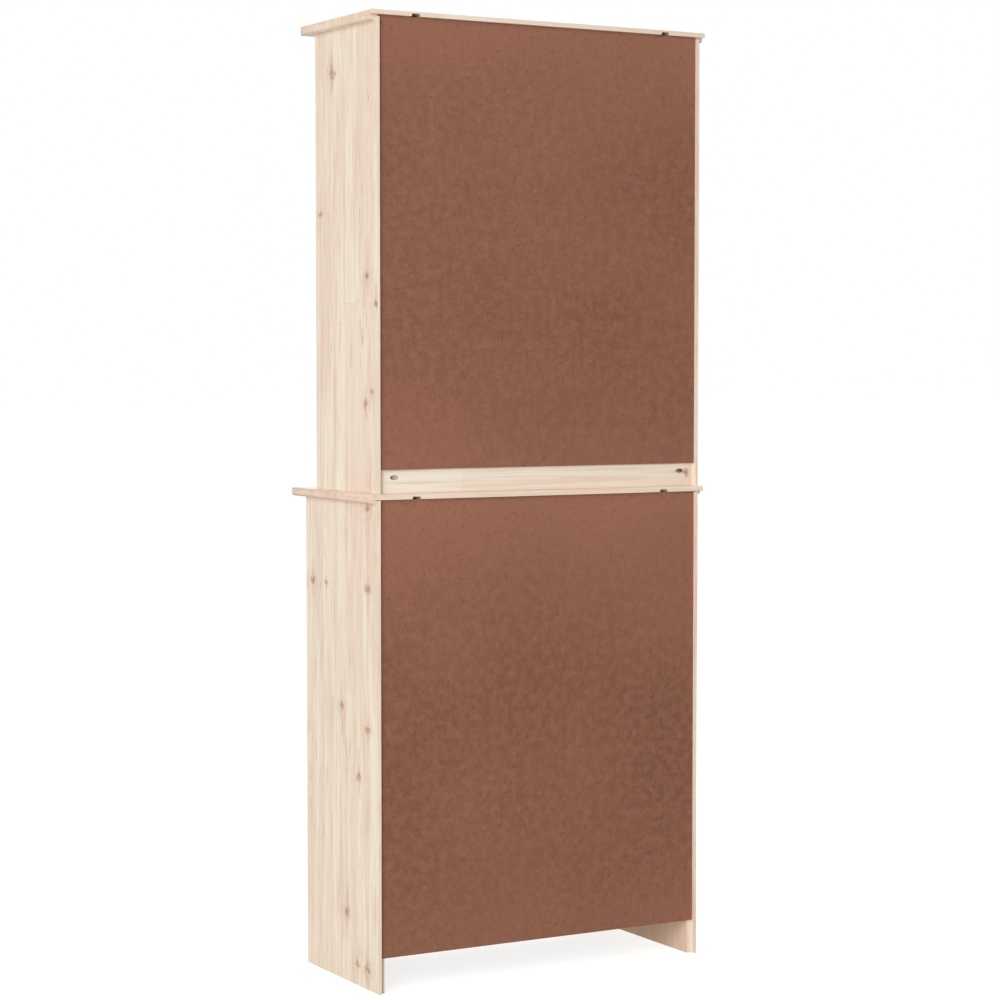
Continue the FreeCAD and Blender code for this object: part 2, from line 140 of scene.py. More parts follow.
# Staves of the pine
board_pitch = 0.25            # boards this far apart through their thickness have wood of their own
board_shift = 0.45            # of that pitch, so that no board is cut in two
stave_shift = 0.37            # of a stave, so that no glue line lies in the middle plane
piece_stagger = 3             # how many lengths the pieces of one stave are shifted, at most
glue_line = 0.0006
butt_joint = 0.0005
square_shares = (0.5, 0.85)   # how squarely a surface lies before it counts as a face, an edge or an end

# Knots of the pine
knot_pitch = 0.19             # at most one knot to this length of a stave
knot_scatter = 57.3           # shifts the knots of each piece
bold_scatter = 53.7           # draws a second number from the first
luck_fade = 0.003
knot_least = 0.0044
knot_spread = 0.0085          # how much larger the largest are
knot_stretch = 0.90
knot_jolt = 2.0               # of a knot's size, out of round
jolt_shifts = (0.0, 0.5)      # along the grain, across it
knot_ragged = (0.30, 1.4)     # least, and how much noise adds
knot_bulge = 0.42             # how quickly the grain closes again round a knot

# Knots that the photograph shows, on the right-hand sides and the upper rear rail: place along the
# grain, place across it, size
side_knots = (
    (1.765, -0.016, 0.0115), (1.495, -0.069, 0.0075), (1.369, 0.134, 0.0080), (1.315, 0.172, 0.0090),
    (1.149, 0.152, 0.0075), (1.128, 0.128, 0.0095), (0.927, 0.133, 0.0095), (0.774, -0.109, 0.0095),
    (0.774, -0.050, 0.0060), (0.774, 0.134, 0.0105), (0.537, 0.020, 0.0075), (0.502, 0.133, 0.0085),
    (0.407, 0.094, 0.0095), (0.135, 0.039, 0.0115), (0.042, 0.085, 0.0075), (0.039, 0.128, 0.0105),
)
rail_knots = ((-0.339, 0.984, 0.0075),)
knot_skin = 0.004             # how deep these knots go
knot_skin_fade = 0.001
set_knot_bold = 0.85
set_knot_shape = 0.6

# Growth rings of the pine
ring_width = 0.0034
ring_wave = 0.0032
ring_detour = 1.6             # of a knot's size, round it
year_stretch = 0.3            # how often wide and narrow years change
year_spread = 2.4
late_wood_power = 2.4         # how late in its year a ring darkens
year_end = 0.92               # of a year, where a ring breaks off
pith_spread = 0.15            # across the staves
pith_sway = 0.016
pith_turn = 25                # through the thickness
pith_reach = 0.045
grain_lean = 0.016            # of the length, out of the board

# Streaks of the pine
bend_reach = 0.012            # how far they wander
ripple_reach = 0.004
knot_parting = 0.6            # how far they part at a knot

# Marks in the pine, which noise draws out along the grain: length, breadth, detail
pine_marks = {
    "jolt": (0.016, 0.011, 2.0),
    "ragged": (0.015, 0.008, 3.0),
    "sway": (0.7, 0.16, 2.0),
    "wave": (0.11, 0.02, 3.0),
    "ring_zone": (0.35, 0.06, 2.0),
    "bend": (0.20, 0.06, 2.0),
    "ripple": (0.055, 0.022, 2.0),
    "streak": (0.50, 0.020, 3.0),
    "blush": (0.21, 0.026, 3.0),
    "vein": (0.115, 0.0066, 3.0),
    "hair": (0.06, 0.0026, 2.0),
    "fibre": (0.030, 0.0008, 2.0),
    "flick": (0.038, 0.0034, 2.0),
    "flick_zone": (0.2, 0.05, 2.0),
}

# Shades of the pine, as a screen shows them
pine_shades = {
    "pale_streak": (248, 238, 221),
    "warm_streak": (238, 220, 199),
    "rosy_stave": (241, 217, 199),
    "yellow_stave": (241, 227, 200),
    "blush": (232, 198, 178),
    "late_wood": (219, 184, 155),
    "dark_vein": (217, 187, 165),
    "pale_vein": (251, 243, 230),
    "hair": (220, 190, 165),
    "fibre": (214, 180, 152),
    "flick": (184, 146, 128),
    "knot_whisker": (206, 162, 137),
    "knot_halo": (226, 188, 166),
    "knot_wood": (186, 143, 127),
    "knot_pith": (146, 100, 79),
    "knot_rim": (140, 97, 76),
    "seam": (206, 170, 142),
    "edge": (243, 212, 193),
    "end_grain": (212, 172, 142),
    # painted warm shade: light bounced off the wood, on the inner faces of the sides
    "painted_warm_shade": (238, 192, 164),
    "worn_arris": (222, 186, 160),
    # painted shade for the dark hollows of the notches and the pockets
    "painted_hollow_shade": (72, 50, 38),
}
arris_turn = (0.99, 0.85)     # how squarely a surface lies at the foot of an eased edge, and well on it
inward_turn = (-0.27, -0.33)  # direction times place, where a surface looks towards the middle plane
inward_plane = (0.350, 0.348)  # middle plane to just behind the inner faces of the sides

# Hardboard: marks to the metre, detail, roughness of the noise
hardboard_marks = {
    "cloud": (2.4, 3.0, 0.5),
    "mottle": (52.0, 3.0, 0.6),
    "blotch": (105.0, 2.0, 0.5),
    "felt": (230.0, 3.0, 0.65),
    "speck": (240.0, 1.0, 0.5),
    "speck_zone": (17.0, 2.0, 0.5),
    "lean": (30.0, 1.0, 0.5),
}
hardboard_shades = {
    "dark_cloud": (129, 85, 67),
    "pale_cloud": (143, 95, 76),
    "paler_end": (172, 121, 99),
    "mottle": (157, 108, 87),
    "dark_blotch": (114, 72, 55),
    "pale_blotch": (166, 117, 95),
    "dark_felt": (115, 73, 55),
    "pale_felt": (168, 118, 96),
    "pale_fibre": (172, 125, 102),
    "dark_fibre": (106, 66, 50),
    "speck": (90, 55, 41),
}
back_middle_share = 0.42      # height of the darkest part of a back
back_paling = 1.65
fibre_fine, fibre_drawn = 420, 70     # fibres to the metre, across them and along them
fibre_lean = 0.03

# Plated steel, bright, grey and dull, and the brown of the catches, dark and scuffed
zinc_shades = ((222, 221, 216), (196, 195, 190), (172, 168, 158))
screw_shades = ((160, 150, 124), (128, 119, 98), (104, 96, 80))
roll_fine, roll_drawn = 2500, 90      # rolling marks to the metre, across them and along them
plastic_shades = ((104, 70, 46), (128, 92, 64))


class Signal:
    """What a node gives out; numbers take part in sums as plain numbers would."""

    def __init__(self, nodes, socket):
        self.nodes = nodes
        self.socket = socket

    def out(self, name):
        """Another output of the same node."""
        return Signal(self.nodes, self.socket.node.outputs[name])

    def sum(self, operation, first, second=0.0):
        return self.nodes.node("ShaderNodeMath", {"operation": operation}, {0: first, 1: second})

    def __add__(self, other):
        return self.sum("ADD", self, other)

    def __radd__(self, other):
        return self.sum("ADD", other, self)

    def __sub__(self, other):
        return self.sum("SUBTRACT", self, other)

    def __rsub__(self, other):
        return self.sum("SUBTRACT", other, self)

    def __mul__(self, other):
        return self.sum("MULTIPLY", self, other)

    def __rmul__(self, other):
        return self.sum("MULTIPLY", other, self)

    def __truediv__(self, other):
        return self.sum("DIVIDE", self, other)

    def __rtruediv__(self, other):
        return self.sum("DIVIDE", other, self)

    def __pow__(self, other):
        return self.sum("POWER", self, other)

    def __rpow__(self, other):
        return self.sum("POWER", other, self)

    def __abs__(self):
        return self.sum("ABSOLUTE", self)

    def floor(self):
        return self.sum("FLOOR", self)

    def fraction(self):
        return self.sum("FRACT", self)

    def root(self):
        return self.sum("SQRT", self)

    def sine(self):
        return self.sum("SINE", self)

    def larger(self, other):
        return self.sum("MAXIMUM", self, other)

    def smaller(self, other):
        return self.sum("MINIMUM", self, other)

    def below(self, other):
        return self.sum("LESS_THAN", self, other)

    def same_as(self, other):
        """1 where two whole numbers are the same."""
        return self.nodes.node("ShaderNodeMath", {"operation": "COMPARE"}, {0: self, 1: other, 2: 0.5})

    def rise(self, low, high):
        """0 below low, 1 above high, smooth between; falls instead where low is the larger."""
        return self.nodes.node(
            "ShaderNodeMapRange", {"interpolation_type": "SMOOTHSTEP"}, {0: self, 1: low, 2: high},
        )

    def bell(self):
        """1 at zero, fading to 0 either way."""
        return math.e ** (self * self * -1.0)


class Nodes:
    """A tree of nodes: a finish, the light of the room or a shape that repeats."""

    def __init__(self, tree):
        self.tree = tree
        tree.nodes.clear()

    def node(self, kind, settings=None, inputs=None, output=0):
        """Adds a node: first its settings, then a value, a link or a list of links for each socket."""
        made = self.tree.nodes.new(kind)
        for name, value in (settings or {}).items():
            setattr(made, name, value)
        for name, value in (inputs or {}).items():
            for one in value if isinstance(value, list) else [value]:
                if isinstance(one, Signal):
                    self.tree.links.new(one.socket, made.inputs[name])
                else:
                    made.inputs[name].default_value = one
        return Signal(self, made.outputs[output]) if made.outputs else None

    def point(self, x, y, z):
        return self.node("ShaderNodeCombineXYZ", inputs={0: x, 1: y, 2: z})

    def blend(self, amount, first, second):
        """A point between two others."""
        return self.node("ShaderNodeMix", {"data_type": "VECTOR"}, {0: amount, 4: first, 5: second}, 1)

    def parts(self, vector):
        """A vector as three numbers."""
        split = self.node("ShaderNodeSeparateXYZ", inputs={0: vector})
        return {axis: split.out(axis) for axis in "XYZ"}

    def seen(self):
        """1 on rays that the camera sees, straight, mirrored or through glass; 0 on those that light."""
        ray = self.node("ShaderNodeLightPath", output="Is Camera Ray")
        return ray.larger(ray.out("Is Glossy Ray")).larger(ray.out("Is Transmission Ray"))


class Finish(Nodes):
    """A material and its nodes."""

    def __init__(self, name):
        self.material = bpy.data.materials.new(name)
        self.material.use_nodes = True
        super().__init__(self.material.node_tree)

    def place(self):
        return self.parts(self.node("ShaderNodeTexCoord", output="Object"))

    def facing(self):
        """The surface's own direction, turning with the piece."""
        return self.parts(self.node("ShaderNodeTexCoord", output="Normal"))

    def noise(self, point, scale=1.0, detail=2.0, roughness=0.5):
        return self.node(
            "ShaderNodeTexNoise", None,
            {"Vector": point, "Scale": scale, "Detail": detail, "Roughness": roughness},
        )

    def toss(self, point):
        """Three random numbers for each place."""
        dice = self.node("ShaderNodeTexWhiteNoise", {"noise_dimensions": "3D"}, {"Vector": point}, "Color")
        return self.thirds(dice)

    def thirds(self, colour):
        """A colour as three numbers."""
        split = self.node("ShaderNodeSeparateColor", inputs={0: colour})
        return [split.out(name) for name in ("Red", "Green", "Blue")]

    def tint(self, amount, under, over):
        """One colour laid over another."""
        return self.node("ShaderNodeMix", {"data_type": "RGBA"}, {0: amount, 6: under, 7: over}, 2)

    def layers(self, colour, shades, amounts):
        """Named shades laid over a colour, one after the other, each as strongly as its amount says."""
        for name, amount in amounts.items():
            colour = self.tint(amount, colour, shade(*shades[name]))
        return colour

    def bump(self, height, strength, distance):
        inputs = {"Strength": strength, "Distance": distance, "Height": height}
        return self.node("ShaderNodeBump", None, inputs)

    def end(self, shader):
        self.node("ShaderNodeOutputMaterial", inputs={"Surface": shader})
        return self.material

    def cover(self, **sockets):
        """Ends the tree in one surface shader; socket names use _ for a space."""
        inputs = {name.replace("_", " "): value for name, value in sockets.items()}
        return self.end(self.node("ShaderNodeBsdfPrincipled", inputs=inputs))


class Pine(Finish):
    """Sanded pine, edge-glued from staves: how it grew and how its boards are made up.

    Grain and across name the axes along the grain and across the staves.
    """

    def __init__(self, name, grain, across, drawn_out, seed):
        super().__init__(name)
        self.spot, self.turned = self.place(), self.facing()
        through = next(axis for axis in "XYZ" if axis not in (grain, across))
        self.along, self.side, self.depth = (self.spot[axis] for axis in (grain, across, through))
        self.on_face, self.on_edge, self.on_end = (
            abs(self.turned[axis]).rise(*square_shares) for axis in (through, across, grain)
        )
        self.board = (self.depth / board_pitch + board_shift).floor() + seed
        self.drawn_out = drawn_out

    def drawn(self, mark, sideways=None):
        """Noise drawn out along the grain, as long and as broad as its mark."""
        length, breadth, detail = pine_marks[mark]
        sideways = self.side if sideways is None else sideways
        point = self.point(
            self.along / (length * self.drawn_out), sideways / breadth, self.depth / breadth + self.board,
        )
        return self.noise(point, detail=detail)

    def lay_staves(self, width, length):
        """Staves, each of shorter pieces end to end, and the seams between them."""
        self.stave_width = width
        self.lane = self.side / width + stave_shift
        self.stave = self.lane.floor()
        self.off_middle = (self.lane - self.stave - 0.5) * width
        stagger = self.toss(self.point(self.stave, self.board, 0.5))[0] * piece_stagger
        piece = self.along / length + stagger
        tosses = self.toss(self.point(self.stave, piece.floor(), self.board))
        self.pith_toss, self.tone_toss, self.lean_toss = tosses
        glued = (abs(self.off_middle) / width).rise(0.5 - glue_line / width, 0.5)
        butted = abs(piece.fraction() - 0.5).rise(0.5 - butt_joint / length, 0.5)
        self.seam = glued.larger(butted)

    def grow_knots(self, share, set_knots):
        """Knots, at most one to each cell of a stave and cut off at its glue lines, or those set."""
        cell_along = self.along / knot_pitch + self.lean_toss * knot_scatter
        cell = self.node(
            "ShaderNodeTexVoronoi", {"voronoi_dimensions": "2D"},
            {"Vector": self.point(cell_along, self.lane, 0.0), "Scale": 1.0}, "Position",
        )
        centre = self.parts(cell)
        luck, size_toss, shape = self.thirds(cell.out("Color"))
        bold = (luck * bold_scatter).fraction()
        there = luck.rise(1 - share, 1 - share + luck_fade) * centre["Y"].floor().same_as(self.stave)
        knot = self.point(
            (cell_along - centre["X"]) * knot_pitch,
            (self.lane - centre["Y"]) * self.stave_width,
            knot_least + size_toss * size_toss * knot_spread,
        )
        if set_knots:
            face, spots = set_knots
            skin = self.depth.rise(face - knot_skin, face - knot_skin + knot_skin_fade)
            there = there.larger(skin)
            bold = bold + skin * (set_knot_bold - bold)
            shape = shape + skin * (set_knot_shape - shape)
            knot = self.nearest(spots, skin, knot)
        along, side, size = self.parts(knot).values()
        jolts = [(self.drawn("jolt", self.side + shift) - 0.5) * size * knot_jolt for shift in jolt_shifts]
        along, side = along + jolts[0], side + jolts[1]
        stretch = knot_stretch + shape * knot_stretch
        ragged = knot_ragged[0] + self.drawn("ragged") * knot_ragged[1]
        near = (along * along * stretch * stretch + side * side).root() / size * ragged
        shown = there * self.on_face
        bulge = shown * (near * knot_bulge).bell()
        return SimpleNamespace(
            along=along, side=side, size=size, ragged=ragged, near=near, bold=bold, shown=shown,
            bulge=bulge,
        )

    def nearest(self, spots, skin, knot):
        """The nearest of the knots that are set, within their skin, or else the knot by chance."""
        least = 1.0
        for spot_along, spot_side, size in spots:
            along, side = self.along - spot_along, self.side - spot_side
            far = along * along + side * side
            knot = self.blend(far.below(least) * skin, knot, self.point(along, side, size))
            least = far.smaller(least)
        return knot

    def grow_rings(self, knot):
        """Growth rings about a pith that lies elsewhere in each stave, wider in some years than others."""
        sway, wave = self.drawn("sway") - 0.5, self.drawn("wave") - 0.5
        pith_side = self.off_middle + (self.pith_toss - 0.5) * pith_spread + sway * pith_sway
        pith_depth = (self.depth * pith_turn + self.tone_toss * math.tau).sine() * pith_reach
        reach = (pith_side * pith_side + pith_depth * pith_depth).root()
        reach = reach + self.along * (self.lean_toss - 0.5) * grain_lean
        count = (reach + wave * ring_wave + knot.bulge * knot.size * ring_detour) / ring_width
        years = self.noise(self.point(count * year_stretch, self.stave, self.board))
        count = count + years * year_spread
        year = count.floor()
        in_year = count - year
        late = in_year ** late_wood_power * in_year.rise(1.0, year_end)
        return late * (0.2 + self.toss(self.point(year, self.stave, self.board))[0] * 0.8)

    def inward(self):
        """1 on the inner faces of the sides."""
        x = self.spot["X"]
        return (self.turned["X"] * x).rise(*inward_turn) * abs(x).rise(*inward_plane)

    def arrises(self):
        """1 on eased edges, which lie square to no axis."""
        x, y, z = (abs(part) for part in self.turned.values())
        return x.larger(y).larger(z).rise(*arris_turn)

    def hollow(self, low, high, strength):
        """How dark the painted shade is, in a box and its twin on the other hand."""
        x, y, z = self.spot.values()
        for value, start, stop in zip((abs(x), y, z), low, high):
            strength = strength * value.rise(start, start + painted_shade_fade)
            strength = strength * value.rise(stop, stop - painted_shade_fade)
        return strength


def shade(red, green, blue):
    """A colour as a screen shows it, 0 to 255, as the renderer counts it."""
    def linear(value):
        value /= 255
        return value / 12.92 if value <= 0.04045 else ((value + 0.055) / 1.055) ** 2.4

    return (linear(red), linear(green), linear(blue), 1.0)


def pine(
    name, grain, across, stave_width, stave_length=0.75, knots=0.34, contrast=1.15, drawn_out=1.0,
    arris=0.30, painted_warm_shade=0.0, seed=0.0, set_knots=(), painted_shade_boxes=(),
):
    """Pine whose grain lies one way: rings, streaks, knots that both run round, and end grain.

    Painted warm shade makes the faces towards the middle of the highboard redder, for light bounced off
    the wood. Set knots take the place of those by chance, as deep as their skin. Painted shade boxes darken
    the hollows, and each box has its twin on the other hand.
    """
    wood = Pine(name, grain, across, drawn_out, seed)
    wood.lay_staves(stave_width, stave_length)
    knot = wood.grow_knots(knots, set_knots)
    ring = wood.grow_rings(knot)
    ring_zone = 0.2 + wood.drawn("ring_zone").rise(0.35, 0.70) * 0.8

    # Streaks, which wander a little and part round the knots
    bend = (wood.drawn("bend") - 0.5) * bend_reach + (wood.drawn("ripple") - 0.5) * ripple_reach
    flow = wood.side + bend - knot.side * knot.bulge * knot_parting
    streak, blush, vein, hair, fibre, flick = (
        wood.drawn(mark, flow) for mark in ("streak", "blush", "vein", "hair", "fibre", "flick")
    )

    whisker = knot.shown * (knot.side / knot.size * 2.0 * knot.ragged).bell()
    heart = knot.shown * knot.near.rise(1.3, 0.55)
    rim = knot.shown * knot.near.rise(0.7, 1.0) * knot.near.rise(1.3, 1.0) * knot.bold.rise(0.55, 1.0)
    amounts = {
        "warm_streak": streak.rise(0.36, 0.64),
        "rosy_stave": wood.tone_toss.rise(0.40, 1.0) * 0.60,
        "yellow_stave": wood.pith_toss.rise(0.55, 1.0) * 0.50,
        "blush": blush.rise(0.53, 0.72) * 0.50 * contrast,
        "late_wood": ring * ring_zone * 0.32 * contrast,
        "dark_vein": vein.rise(0.53, 0.74) * 0.52 * contrast,
        "pale_vein": vein.rise(0.45, 0.26) * 0.50 * contrast,
        "hair": hair.rise(0.50, 0.78) * 0.30,
        "fibre": fibre.rise(0.52, 0.80) * 0.18,
        "flick": flick.rise(0.61, 0.72) * wood.drawn("flick_zone").rise(0.52, 0.68) * 0.70,
        "knot_whisker": whisker * (knot.along / knot.size * 0.22).bell() * 0.45,
        "knot_halo": knot.shown * (knot.near * 0.5).bell() * 0.50,
        "knot_wood": heart * (0.25 + knot.bold * 0.35),
        "knot_pith": heart * knot.near.rise(0.62, 0.15) * knot.bold * 0.65,
        "knot_rim": rim * 0.45,
        "seam": wood.seam * 0.40,
        "edge": wood.on_edge * 0.28,
        "end_grain": wood.on_end * (0.12 + ring * 0.50),
    }
    # Painted warm shade on the inner faces of the sides, for light bounced off the wood
    if painted_warm_shade:
        amounts["painted_warm_shade"] = wood.inward() * painted_warm_shade
    if arris:
        amounts["worn_arris"] = wood.arrises() * arris
    colour = wood.layers(shade(*pine_shades["pale_streak"]), pine_shades, amounts)
    # Painted shade darkens the notches and the pockets
    for box in painted_shade_boxes:
        colour = wood.layers(colour, pine_shades, {"painted_hollow_shade": wood.hollow(*box)})

    height = ring * 0.35 + hair * 0.35 + fibre * 0.4 + heart * 0.4 - wood.seam * 0.8
    return wood.cover(
        Base_Color=colour,
        Roughness=0.58 + fibre * 0.16 - heart * 0.12,
        Normal=wood.bump(height, 0.22, 0.0004),
        Specular_IOR_Level=0.28,
    )


def hardboard(name):
    """Pressed brown fibre: clouded and mottled, with dark specks, pale fibres and a slightly fuzzy face.

    Both backs grow paler from their middles to their upper and lower ends.
    """
    finish = Finish(name)
    x, y, z = finish.place().values()
    low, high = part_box("lower_back_panel")
    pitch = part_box("upper_back_panel")[0].z - low.z
    up_share = ((z - low.z) / pitch).fraction() * (pitch / (high.z - low.z))
    off_middle = up_share - back_middle_share
    point = finish.point(x, y, z)
    marks = {kind: finish.noise(point, *mark) for kind, mark in hardboard_marks.items()}
    blotch, felt = marks["blotch"], marks["felt"]
    lean = marks["lean"] * fibre_lean
    upright = finish.point((x + lean) * fibre_fine, y * fibre_fine, z * fibre_drawn)
    upright = finish.noise(upright, detail=1.0)
    level = finish.point(x * fibre_drawn, y * fibre_fine, (z + lean) * fibre_fine)
    level = finish.noise(level, detail=1.0)

    colour = finish.layers(shade(*hardboard_shades["dark_cloud"]), hardboard_shades, {
        "pale_cloud": marks["cloud"].rise(0.32, 0.68),
        "paler_end": off_middle * off_middle * back_paling,
        "mottle": marks["mottle"].rise(0.36, 0.68) * 0.55,
        "dark_blotch": blotch.rise(0.42, 0.24) * 0.50,
        "pale_blotch": blotch.rise(0.60, 0.78) * 0.45,
        "dark_felt": felt.rise(0.46, 0.26) * 0.36,
        "pale_felt": felt.rise(0.55, 0.74) * 0.32,
        "pale_fibre": upright.rise(0.66, 0.80) * 0.50,
        "dark_fibre": level.rise(0.68, 0.80) * 0.25,
        "speck": marks["speck"].rise(0.63, 0.78) * marks["speck_zone"].rise(0.48, 0.66) * 0.25,
    })
    return finish.cover(
        Base_Color=colour,
        Roughness=0.76 + felt * 0.16,
        Normal=finish.bump(felt * 0.7 + upright * 0.3, 0.25, 0.0004),
        Specular_IOR_Level=0.2,
    )


def plated_steel(name, shades):
    """Plated steel with faint crystals, rolling marks and dull patches."""
    finish = Finish(name)
    bright, grey, dim = (shade(*one) for one in shades)
    x, y, z = finish.place().values()
    point = finish.point(x, y, z)
    crystals = finish.noise(point, 420.0, detail=3.0, roughness=0.6)
    marks = finish.noise(finish.point(x * roll_fine, y * roll_fine, z * roll_drawn))
    dull = finish.noise(point, 90.0)
    colour = finish.tint(crystals.rise(0.3, 0.7), grey, bright)
    colour = finish.tint(dull.rise(0.55, 0.75) * 0.35, colour, dim)
    return finish.cover(
        Base_Color=colour,
        Metallic=1.0,
        Roughness=0.28 + marks * 0.16 + dull * 0.08,
        Normal=finish.bump(marks, 0.08, 0.0002),
    )


def moulded_brown(name):
    """Moulded brown plastic of the door catches, finely sparked."""
    finish = Finish(name)
    dark, scuffed = (shade(*one) for one in plastic_shades)
    point = finish.point(*finish.place().values())
    spark = finish.noise(point, 1600.0)
    scuff = finish.noise(point, 120.0, detail=3.0)
    return finish.cover(
        Base_Color=finish.tint(scuff.rise(0.4, 0.75) * 0.6, dark, scuffed),
        Roughness=0.45 + scuff * 0.2,
        Normal=finish.bump(spark, 0.15, 0.0002),
    )


def ease(piece, width):
    """Rounds the sharp edges of a piece a little."""
    weld = piece.modifiers.new("join_triangles", "WELD")
    weld.merge_threshold = weld_reach
    bevel = piece.modifiers.new("ease_edges", "BEVEL")
    bevel.width = width
    bevel.segments = ease_steps
    bevel.limit_method = "ANGLE"
    bevel.angle_limit = math.radians(ease_angle)
    bevel.harden_normals = True


def notch_hollows():
    """Boxes round the notches behind the worktop and the top board, and how dark the painted shade in them
    is.
    """
    half = notch_width / 2 * hollow_spare
    for board, lip in rear_lips.items():
        rear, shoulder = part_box(board)[1].y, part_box(board)[1].z - lip
        yield (
            Vector((notch_middle - half, rear - notch_depth * hollow_spare, shoulder - notch_drop)),
            Vector((notch_middle + half, rear, shoulder + notch_rise)),
            notch_painted_shade,
        )


def pocket_hollow():
    """Box round the screw pockets in the upper rear rail, and how dark the painted shade in it is."""
    low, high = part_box("upper_rear_rail")
    middle = Vector((high.x - pocket_inset, high.y, low.z + pocket_lift))
    reach = Vector((pocket_reach, 0, pocket_radius * hollow_spare))
    return middle - reach - Vector((0, pocket_depth, 0)), middle + reach, pocket_painted_shade


def board_finishes():
    """Pine for each way that a board lies: its grain, the direction across it, the width of its staves."""
    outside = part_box("upper_side_right")[1].x
    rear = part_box("upper_rear_rail")[1].y
    return {
        # the sides carry painted warm shade on their inner faces
        "side": pine("pine_sides", "Z", "Y", 0.062, painted_warm_shade=0.5, set_knots=(outside, side_knots)),
        "panel": pine("pine_panels", "Z", "X", 0.068, knots=0.30, seed=3.0),
        "stile": pine("pine_stiles", "Z", "X", 0.173, knots=0.25, seed=5.0),
        "slab": pine("pine_slabs", "X", "Y", 0.060, drawn_out=1.5, seed=7.0, painted_shade_boxes=list(notch_hollows())),
        "front": pine(
            "pine_fronts", "X", "Z", 0.054, stave_length=0.9, knots=0.10, contrast=1.5, drawn_out=3.0,
            seed=12.0, set_knots=(rear, rail_knots), painted_shade_boxes=[pocket_hollow()],
        ),
        "rail": pine("pine_rails", "X", "Z", 0.300, knots=0.25, seed=13.0),
        "strip": pine("pine_strips", "Y", "Z", 0.075, knots=0.20, seed=17.0),
        "knob": pine("pine_knobs", "Y", "Z", 0.075, knots=0.0, arris=0.0, seed=19.0),
    }


def board_way(node):
    """How the grain of a pine node lies, by the last word that its name has here."""
    ways = {
        "knob": "knob", "panel": "panel", "stiles": "stile", "drawer_sides": "strip", "runners": "strip",
        "battens": "strip", "tongues": "strip", "top_rail": "rail", "bottom_rail": "rail",
        "upper_front_rail": "front", "upper_rear_rail": "front", "plinth": "front", "drawer_front": "front",
        "drawer_back": "front", "side_left": "side", "side_right": "side", "divider": "side",
    }
    return next((way for ending, way in ways.items() if node.endswith(ending)), "slab")


def dress_nodes(boards, others):
    """Gives each piece of the frame its finish and its eased edges."""
    for part in frame["record"]["subparts"]:
        node, slot = part["node"], part["material_slot"]
        piece = frame["nodes"][node]
        piece.data.materials.clear()
        piece.data.materials.append(boards[board_way(node)] if slot == "pine" else others[slot])
        if slot == "pine":
            ease(piece, knob_ease if node.endswith("knob") else board_ease)
        elif slot == "hinge_steel":
            ease(piece, steel_ease)


def screw_heads():
    """Nodes that put a domed head with a cross slot on each seat, turned at random about its screw."""
    tree = bpy.data.node_groups.new("screw_heads", "GeometryNodeTree")
    for name, kind in (
        ("Seats", "NodeSocketGeometry"),
        ("Sides", "NodeSocketInt"),
        ("Crown share", "NodeSocketFloat"),
        ("Slot reach share", "NodeSocketFloat"),
        ("Slot width share", "NodeSocketFloat"),
        ("Slot depth share", "NodeSocketFloat"),
        ("Turn seed", "NodeSocketInt"),
        ("Steel", "NodeSocketMaterial"),
    ):
        tree.interface.new_socket(name, in_out="INPUT", socket_type=kind)
    tree.interface.new_socket("Screws", in_out="OUTPUT", socket_type="NodeSocketGeometry")
    nodes = Nodes(tree)
    given = nodes.node("NodeGroupInput", output="Seats")
    crown, slot_depth = given.out("Crown share"), given.out("Slot depth share")
    slot_reach, slot_width = given.out("Slot reach share") * 2, given.out("Slot width share")

    cone = nodes.node("GeometryNodeMeshCone", None, {
        "Vertices": given.out("Sides"), "Side Segments": dome_steps,
        "Radius Top": crown, "Radius Bottom": 1.0, "Depth": 1.0,
    })
    spot = nodes.parts(nodes.node("GeometryNodeInputPosition"))
    up = spot["Z"]
    bulge = (1 - (1 - crown * crown) * up * up).root() / (1 - (1 - crown) * up)
    domed = nodes.point(spot["X"] * bulge, spot["Y"] * bulge, up)
    dome = nodes.node("GeometryNodeSetPosition", None, {"Geometry": cone, "Position": domed})

    def slot(reach_x, reach_y):
        size = nodes.point(reach_x, reach_y, slot_depth * 2)
        cut = nodes.node("GeometryNodeMeshCube", None, {"Size": size})
        return nodes.node("GeometryNodeTransform", None, {"Geometry": cut, "Translation": (0, 0, 1)})

    head = nodes.node("GeometryNodeMeshBoolean", {"operation": "DIFFERENCE", "solver": "EXACT"}, {
        "Mesh 1": dome, "Mesh 2": [slot(slot_reach, slot_width), slot(slot_width, slot_reach)],
    })

    def carried(name):
        """What each seat says of its screw."""
        return nodes.node("GeometryNodeInputNamedAttribute", {"data_type": "FLOAT_VECTOR"}, {"Name": name})

    seed = given.out("Turn seed")
    turn = nodes.node("FunctionNodeRandomValue", None, {2: 0.0, 3: math.tau, "Seed": seed}, 1)
    turn = nodes.node("FunctionNodeAxisAngleToRotation", None, {"Axis": (0, 0, 1), "Angle": turn})
    facing = carried("facing")
    stance = nodes.node("FunctionNodeAlignRotationToVector", {"axis": "Z"}, {"Vector": facing})
    stance = nodes.node("FunctionNodeRotateRotation", {"rotation_space": "LOCAL"}, {0: stance, 1: turn})
    screws = nodes.node("GeometryNodeInstanceOnPoints", None, {
        "Points": given, "Instance": head, "Rotation": stance, "Scale": carried("head_size"),
    })
    screws = nodes.node("GeometryNodeRealizeInstances", None, {0: screws})
    steel = given.out("Steel")
    screws = nodes.node("GeometryNodeSetMaterial", None, {"Geometry": screws, "Material": steel})
    nodes.node("NodeGroupOutput", None, {"Screws": screws})
    return tree


